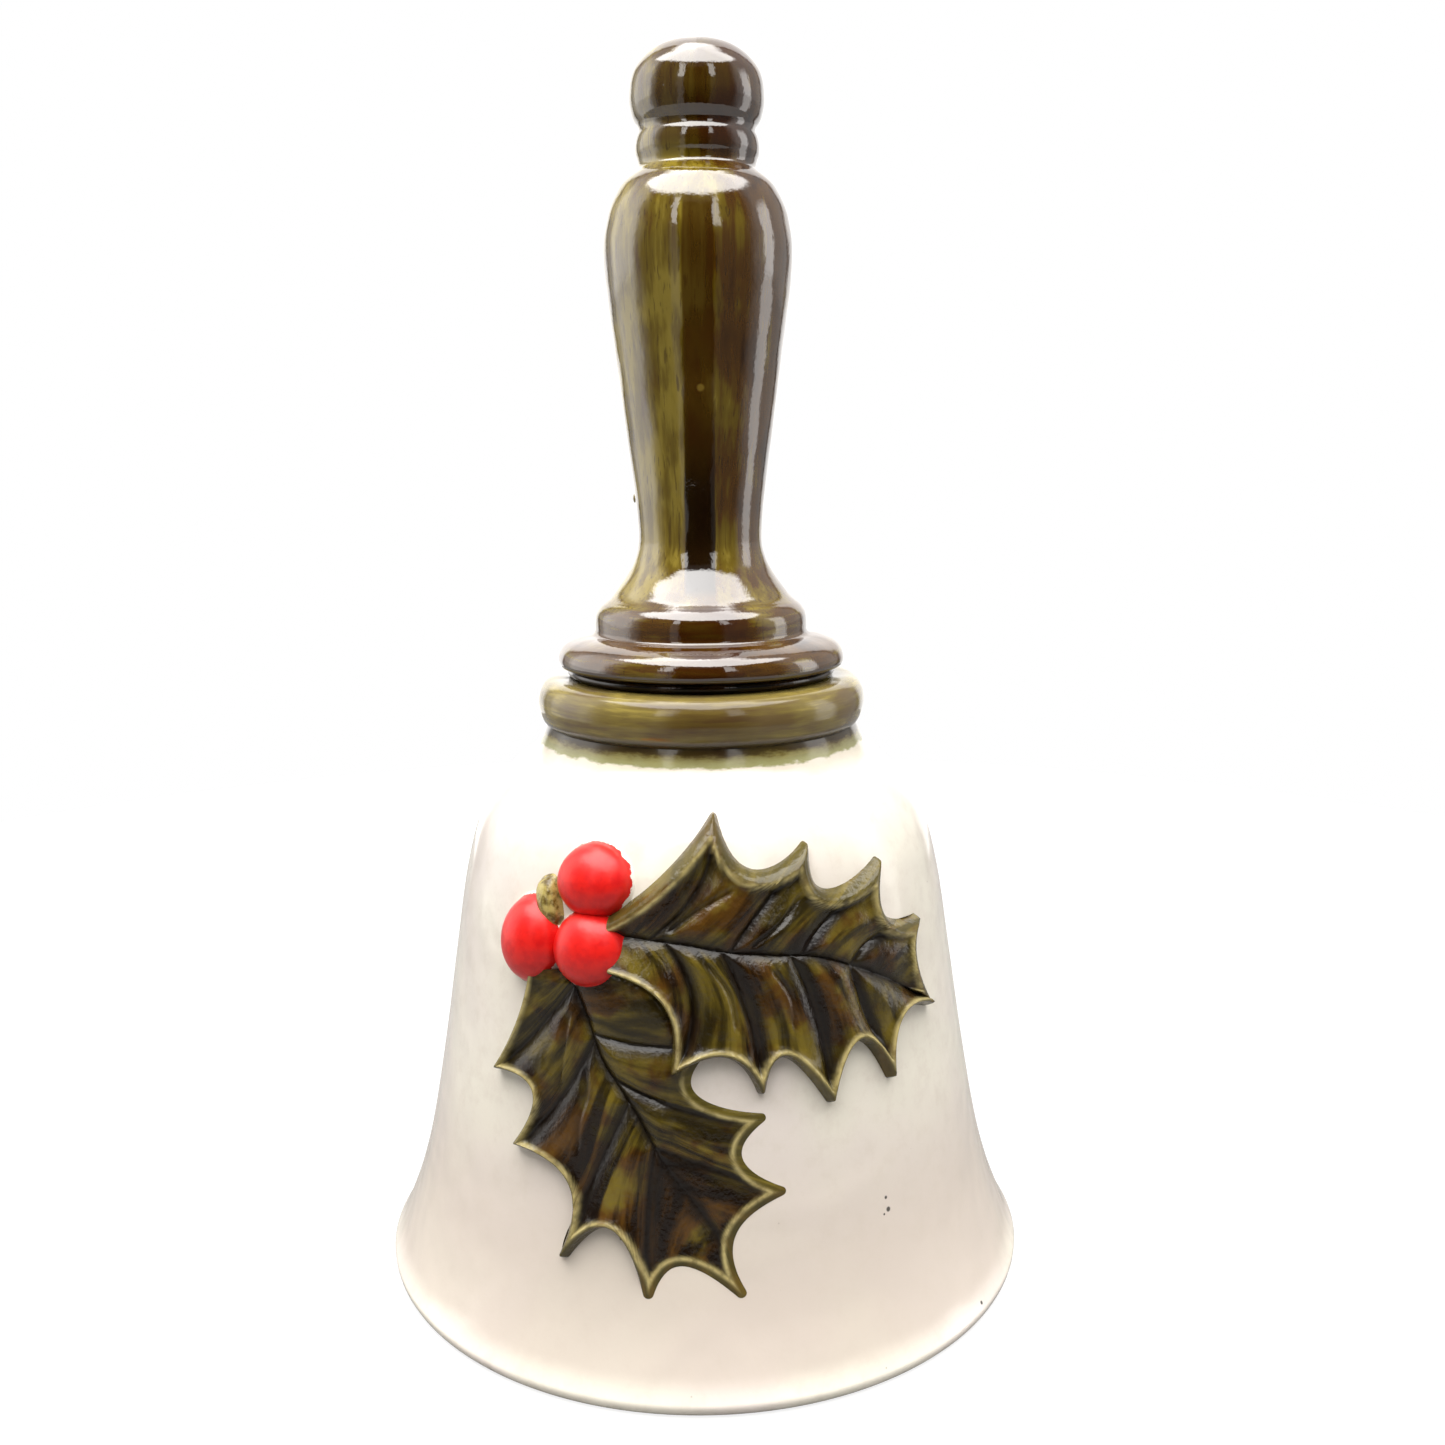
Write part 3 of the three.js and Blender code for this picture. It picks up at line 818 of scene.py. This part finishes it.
def handle_section():
    grip = smooth_line(grip_stations, 9)
    bore = beside(grip, -handle_wall)
    base = handle_base_radius
    return [
        *points([(0, 182), (3, 181.4)]),
        *reversed([place for place in bore if place.y < 180]),
        *points([(hollow_base_radius, 111), (hollow_base_radius, handle_base)]),
        *points([(base - 1.6, handle_base)]),
        *bend((base - 1.0, handle_base), (base + 0.25, handle_base + 0.3), (base - 0.1, 106.6), 8),
        *bend((base - 0.1, 106.6), (base - 0.5, 108.6), (base - 2.4, 109.3), 8),
        *bend((base - 2.4, 109.3), (20.6, 110), (19, 110.15), 6),
        *bend((19, 110.15), (18.1, 110.3), (18.25, 111.4), 5),
        *bend((18.25, 111.4), (18.3, 113.6), (17.7, 114.4), 8),
        *bend((17.7, 114.4), (17.1, 115.3), (16.3, 115.8), 6),
        *smooth_line([(16.3, 115.8), *grip_stations], 9)[1:],
        *bend(grip_stations[-1], (9.6, 185.4), (9.65, 186.1), 6),
        *bend((9.65, 186.1), (9.75, 186.9), (10.05, 187.5), 5),
        *bend((10.05, 187.5), (10.4, 188.9), (9.9, 190.4), 8),
        *bend((9.9, 190.4), (9.35, 191.4), (9.75, 192.1), 8),
        *smooth_line(knob_stations, 9)[1:],
    ]


def handle_glaze():
    finish = Finish("handle_glaze", Roughness=0.06, IOR=2.0)
    normal = glazed(finish, waves=0.3, peel=0.02)[0]
    across, depth, height = finish.apart()
    right = finish.ramp(across, -6, 10, -0.06, 0.09)
    up_and_down = olive_brushwork(finish, finish.stretched(0.5, 0.5, 0.03), right)
    round_about = olive_brushwork(finish, finish.stretched(0.12, 0.12, 1.1), 0.05)
    colour = finish.mix(finish.ramp(height, 115, 118), round_about, up_and_down)
    scratches = finish.noise(finish.stretched(2.2, 2.2, 0.05), 1, 2)
    colour = finish.mix(finish.ramp(scratches, 0.6, 0.68, 0, 0.5), colour, hue(58, 36, 10))

    # One thick stroke runs down the front of the grip, and the glaze has gathered at its foot.
    wander = finish.sum(finish.noise(finish.stretched(0, 0, 0.08), 1, 2), -0.5)
    beside_it = finish.math("ABSOLUTE", finish.sum(across, finish.product(wander, 1.2), -0.2))
    stroke = finish.product(finish.ramp(beside_it, 2.7, 2.2), finish.math("LESS_THAN", depth, 0))
    stroke = finish.product(stroke, finish.ramp(height, 117, 119), finish.ramp(height, 181, 178))
    colour = finish.mix(finish.product(stroke, 0.8), colour, hue(70, 42, 12))
    foot = finish.ramp(height, 150, 132, 0, 0.85)
    colour = finish.mix(finish.product(stroke, foot), colour, hue(14, 4, 3))

    # Painted reflection: the fronts of the rings, the collar and the knob are painted browner, for the
    # dark figure in front mirrored in the glaze.
    wide = finish.ramp(finish.noise(finish.stretched(0.3, 0.3, 0.3), 1, 3), 0.3, 0.7, -1.5, 1.5)
    from_front = finish.math("ABSOLUTE", finish.sum(across, -1.2, wide))
    front = finish.product(finish.ramp(from_front, 7, 4.5), finish.math("LESS_THAN", depth, 0))
    rings = finish.product(front, finish.ramp(height, 116.6, 115.6), 0.75)
    colour = finish.mix(rings, colour, hue(58, 26, 6))
    # Painted shade: the handle's foot ring darkens towards its bottom, just above the joining bead.
    colour = finish.mix(finish.ramp(height, 106.8, 105.2, 0, 0.7), colour, hue(34, 12, 5))
    # Painted reflection on the front of the collar and the knob.
    top = finish.product(finish.ramp(height, 186, 189), finish.ramp(from_front, 9, 6.5), 0.72)
    colour = finish.mix(top, colour, hue(58, 26, 8))
    fleck = finish.near((0.5, -13.2, 150.6), 0.35, 0.75, 0.7)
    colour = finish.mix(fleck, colour, hue(150, 124, 52))
    return finish.show(Base_Color=colour, Normal=normal)


handle_body = turned(handle_section(), 176, closed=False)
# A nib of clay left by the mould's seam, on the left of the grip.
nib_place = Matrix.Translation((-10.7, -0.4, 133)) @ Matrix.Diagonal((0.6, 0.6, 0.9, 1))
bmesh.ops.create_icosphere(handle_body, subdivisions=3, radius=1, matrix=nib_place)
handle = finished("handle_cast", handle_body, handle_glaze())
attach(handle, "bell")
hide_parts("handle")

# ---------------------------------------------------------------- throat plug
# Plaster poured into the throat once the bell is fired, with the staple's legs standing in it.
# It spreads over the crown inside the handle's foot.

plug_radius = 7.7
plug_head_radius = 12.4


def plaster():
    finish = Finish("plaster", Roughness=0.9)
    grain = finish.noise(finish.place, 2.2, 5, 0.7)
    lumps = finish.noise(finish.place, 0.5, 3)
    colour = finish.mix(finish.ramp(lumps, 0.3, 0.7), hue(228, 222, 208), hue(206, 198, 180))
    height = finish.sum(finish.product(grain, 0.16), finish.product(lumps, 0.4))
    return finish.show(Base_Color=colour, Normal=finish.bump(height))


plug_section = [
    *points([(0, 98), (3, 98), (5.6, 98.1)]),
    *bend((plug_radius - 0.9, 98.3), (plug_radius, 98.5), (plug_radius, 99.4), 5),
    *points([(plug_radius, 103.2), (8.5, 103.3), (plug_head_radius - 0.5, 103.3)]),
    *bend((plug_head_radius, 103.8), (plug_head_radius, 106.4), (plug_head_radius - 1.6, 106.7), 6),
    *points([(6, 107.9), (0, 108.4)]),
]
plug_body = turned(plug_section, 72, closed=False)
bmesh.ops.subdivide_edges(plug_body, edges=plug_body.edges[:], cuts=1, use_grid_fill=True)
for vert in plug_body.verts:
    if vert.co.z < 99 or vert.co.z > 104:
        vert.co.z += 0.22 * noise.noise(vert.co * 0.45)
plug = finished("throat_plug_poured", plug_body, plaster(), 40)
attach(plug, "bell")
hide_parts("throat_plug")

# ---------------------------------------------------------------- clapper's hanging
# Drawn steel wire bent cold: a staple with its legs in the plug, a closed oval link hung in the
# staple, and the clapper's own wire, which goes through the ball and is bent over underneath.

staple_wire = 1.8
link_wire = 1.8
clapper_wire = 1.6
staple_pivot = 86
link_pivot = 75
staple_half_width = 4
staple_end = 105.5            # the legs end in the plug
link_half_width = 3.6
eye_radius = 3.2
play = 0.3
ball_radius = 10
ball_height = 24
washer_radius = 3.4
washer_thickness = 0.8


def steel():
    finish = Finish("steel_wire", Metallic=1.0)
    drawn = finish.noise(finish.stretched(3, 3, 0.4), 1, 4, 0.7)
    tarnish = finish.noise(finish.place, 0.6, 4, 0.65)
    colour = finish.mix(finish.ramp(tarnish, 0.45, 0.75), hue(196, 196, 192), hue(116, 104, 90))
    roughness = finish.ramp(tarnish, 0.4, 0.8, 0.26, 0.55)
    normal = finish.bump(finish.product(drawn, 0.02))
    return finish.show(Base_Color=colour, Roughness=roughness, Normal=normal)


def wire(name, line, diameter, material, closed=False):
    """Wire bent along a smooth line, with its cut ends closed."""
    curve = bpy.data.curves.new(name, "CURVE")
    curve.dimensions = "3D"
    curve.bevel_depth = diameter / 2 * MM
    curve.bevel_resolution = 4
    curve.use_fill_caps = True
    spline = curve.splines.new("POLY")
    spline.points.add(len(line) - 1)
    for point, place in zip(spline.points, line):
        point.co = (*(place * MM), 1)
    spline.use_cyclic_u = closed
    spline.use_smooth = True
    curve.materials.append(material)
    piece = bpy.data.objects.new(name, curve)
    bpy.context.collection.objects.link(piece)
    return piece


def arc(centre, radius, first, last, steps):
    """Points round an arc in the section plane, from one angle to another in degrees."""
    turned_points = []
    for i in range(steps + 1):
        angle = math.radians(first + (last - first) * i / steps)
        turned_points.append(Vector(centre) + radius * Vector((math.cos(angle), math.sin(angle))))
    return turned_points


steel_finish = steel()
bend_top = staple_pivot + staple_half_width
staple_line = [
    Vector((-staple_half_width, staple_end)),
    *arc((0, bend_top), staple_half_width, 180, 360, 24),
    Vector((staple_half_width, staple_end)),
]
staple_line = [Vector((p.x, 0, p.y)) for p in staple_line]
staple = wire("hanger_staple_bent", staple_line, staple_wire, steel_finish)
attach(staple, "bell")
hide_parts("hanger_staple")

link_top = staple_pivot + staple_wire / 2 + play + link_wire / 2
straight = (link_top - link_pivot) / 2 - link_half_width
link_middle = (link_top + link_pivot) / 2
link_line = [
    *arc((0, link_middle + straight), link_half_width, 0, 180, 24),
    *arc((0, link_middle - straight), link_half_width, 180, 360, 24),
]
link_line = [Vector((0, p.x, p.y)) for p in link_line]
link = wire("hanger_link_closed", link_line, link_wire, steel_finish, closed=True)
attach(link, "link")
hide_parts("hanger_link")

eye_middle = link_pivot + link_wire / 2 + play + clapper_wire / 2 - eye_radius
foot = ball_height - ball_radius - washer_thickness - play - clapper_wire / 2 - 0.6
eye_bottom = eye_middle - eye_radius
stem_line = [
    *arc((0, eye_middle), eye_radius, -48, 216, 36),
    *smooth_line([
        (-2.0, eye_bottom + 0.6), (-0.7, eye_bottom - 0.6), (0, eye_bottom - 2.4), (0, eye_bottom - 6),
        (0, foot + 3), (0.12, foot + 1.2), (0.9, foot + 0.15), (2.2, foot), (3.6, foot),
    ], 8),
]
stem_line = [Vector((p.x, 0, p.y)) for p in stem_line]
stem = wire("clapper_wire_bent", stem_line, clapper_wire, steel_finish)
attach(stem, "clapper")
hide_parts("clapper_wire")

# ---------------------------------------------------------------- clapper's ball and washer
# A ball of the same clay, pierced, glazed white and strung on the wire. It rests on a small brass
# washer, which keeps the wire's bent foot out of its hole.

hole_radius = clapper_wire / 2 + play


def ball_glaze():
    finish = Finish("clapper_glaze", Roughness=0.14, IOR=1.52)
    normal, pinholes = glazed(finish, waves=0.3, peel=0.02)
    cloudy = finish.noise(finish.place, 0.12, 3)
    colour = finish.mix(finish.ramp(cloudy, 0.35, 0.65), hue(244, 238, 224), hue(232, 220, 204))
    colour = finish.mix(finish.product(pinholes, 0.6), colour, hue(110, 92, 70))
    return finish.show(Base_Color=colour, Normal=normal)


def brass():
    finish = Finish("washer_brass", Metallic=1.0)
    rings = finish.noise(finish.stretched(0.6, 0.6, 3), 1, 4, 0.7)
    colour = finish.mix(finish.ramp(rings, 0.4, 0.7), hue(206, 172, 96), hue(132, 102, 54))
    return finish.show(Base_Color=colour, Roughness=finish.ramp(rings, 0.3, 0.7, 0.3, 0.5))


open_angle = math.degrees(math.asin((hole_radius + 0.5) / ball_radius))
ball_section = [
    *points([(hole_radius, ball_height - ball_radius + 0.5)]),
    *arc((0, ball_height), ball_radius, -90 + open_angle, 90 - open_angle, 40),
    *points([(hole_radius, ball_height + ball_radius - 0.5)]),
]
ball = finished("clapper_ball_glazed", turned(ball_section, 72), ball_glaze())
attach(ball, "clapper")
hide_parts("clapper_ball")

washer_top = ball_height - ball_radius - play
washer_bottom = washer_top - washer_thickness
washer_section = [
    *points([(hole_radius, washer_bottom + 0.1), (hole_radius + 0.1, washer_bottom)]),
    *arc((washer_radius - 0.2, washer_bottom + 0.2), 0.2, -90, 0, 3),
    *arc((washer_radius - 0.2, washer_top - 0.2), 0.2, 0, 90, 3),
    *points([(hole_radius + 0.1, washer_top), (hole_radius, washer_top - 0.1)]),
]
washer = finished("clapper_washer_punched", turned(washer_section, 48), brass(), 40)
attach(washer, "clapper")
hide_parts("clapper_washer")

# ---------------------------------------------------------------- table, light and camera
# A pale table in a white studio: a wide soft light overhead, dimmer side walls, and the dark
# shape of whoever stands in front, which the glaze mirrors. The table can be looked through from
# below and is open under the mouth, so that the clapper can be seen and is lit.

table_radius = 400
mouth_radius = foot_outer - 0.2

studio_level = 0.78           # brings the white glaze to its real brightness
overhead_light = 8.5
window_light = 3.2
doorway_light = 1.6
light_from_below = 1.2


def table_paint():
    finish = Finish("table_paint", Roughness=0.6, Emission_Strength=0.8)
    grain = finish.noise(finish.place, 0.02, 2)
    colour = finish.mix(finish.ramp(grain, 0.3, 0.7), hue(122, 122, 121), hue(118, 118, 117))
    seen = finish.node("ShaderNodeLightPath").outputs["Is Camera Ray"]
    underneath = finish.node("ShaderNodeNewGeometry").outputs["Backfacing"]
    above = finish.math("SUBTRACT", 1, underneath)
    return finish.show(Base_Color=colour, Emission_Color=seen, Alpha=above)


table = bmesh.new()
for radius in (table_radius, mouth_radius):
    bmesh.ops.create_circle(table, segments=96, radius=radius)
bmesh.ops.bridge_loops(table, edges=table.edges[:])
for face in table.faces:
    face.normal_update()
    if face.normal.z < 0:
        face.normal_flip()
table = finished("table", table, table_paint())


def studio(tree):
    """The studio as the glaze sees it, by azimuth from the front and elevation in degrees."""
    sky = Recipe(tree)
    toward = sky.node("ShaderNodeTexCoord").outputs["Generated"]
    x, y, z = sky.node("ShaderNodeSeparateXYZ", {0: toward}).outputs
    azimuth = sky.math("DEGREES", sky.math("ARCTAN2", x, sky.product(y, -1)))
    elevation = sky.math("DEGREES", sky.math("ARCSINE", z))
    aside = sky.math("ABSOLUTE", azimuth)

    # What the glaze mirrors goes on below the horizon, where the white table meets the walls.
    mirrored = sky.node("ShaderNodeLightPath").outputs["Is Glossy Ray"]
    raised = sky.math("MAXIMUM", sky.ramp(elevation, -6, 2), sky.product(mirrored, 0.7))
    walls = sky.sum(0.12, sky.product(sky.ramp(aside, 62, 84), sky.sum(0.1, sky.product(raised, 0.8))))
    backdrop = sky.product(sky.ramp(aside, 136, 150), sky.ramp(mirrored, 0, 1, 0.1, 1.7))

    # A window stands at the right and a doorway at the left.
    window = sky.product(
        sky.ramp(azimuth, 84, 88), sky.ramp(azimuth, 106, 102), raised, sky.ramp(elevation, 34, 24),
        window_light,
    )
    doorway = sky.product(
        sky.ramp(azimuth, -76, -88), sky.ramp(azimuth, -132, -120), raised, sky.ramp(elevation, 60, 30),
        mirrored, doorway_light,
    )

    # The walls meet in dark corners behind, and someone dark stands in front.
    corner = sky.product(sky.ramp(aside, 136, 139), sky.ramp(aside, 146, 142), -0.8)
    level = sky.math("MAXIMUM", sky.sum(walls, backdrop, window, doorway, corner), 0.02)
    figure = sky.product(sky.ramp(aside, 24, 21), sky.ramp(elevation, 40, 36))
    level = sky.product(level, sky.sum(1, sky.product(figure, -0.96)))

    # Two panes and a strip of sky show past the figure, and the ceiling is bright.
    panes = sky.product(
        sky.ramp(aside, 22, 23.5), sky.ramp(aside, 33, 31), sky.ramp(elevation, 20, 24),
        sky.ramp(elevation, 46, 43), window_light,
    )
    strip = sky.product(sky.ramp(azimuth, -34, -32), sky.ramp(azimuth, -22, -24), 0.25)
    in_front = sky.ramp(aside, 112, 96)
    above = sky.ramp(elevation, 64, 74)
    overhead = sky.product(
        sky.ramp(elevation, 46, 52), sky.math("MAXIMUM", in_front, above), overhead_light,
    )
    from_left = sky.ramp(azimuth, 100, -100, 0.84, 1.08)
    level = sky.product(sky.sum(level, panes, strip, overhead), from_left, studio_level)
    level = sky.sum(level, sky.ramp(elevation, -30, -45, 0, light_from_below))

    # A bare white studio is all that the camera itself sees.
    seen = sky.node("ShaderNodeLightPath").outputs["Is Camera Ray"]
    colour = sky.mix(seen, (1.0, 0.985, 0.97, 1), (1, 1, 1, 1))
    strength = sky.sum(sky.product(level, sky.sum(1, sky.product(seen, -1))), seen)
    shown = sky.nodes["Background"]
    sky.join(colour, shown.inputs["Color"])
    sky.join(strength, shown.inputs["Strength"])


scene = bpy.context.scene
scene.world = bpy.data.worlds.new("studio")
scene.world.use_nodes = True
studio(scene.world.node_tree)
scene.view_settings.view_transform = "Standard"

camera_data = bpy.data.cameras.new("camera")
camera_data.lens = 35
camera_data.sensor_width = 36
camera = bpy.data.objects.new("camera", camera_data)
camera.location = (0.0039, -0.24093, 0.141)
camera.rotation_euler = (math.radians(79), math.radians(0.3), 0)
bpy.context.collection.objects.link(camera)
scene.camera = camera
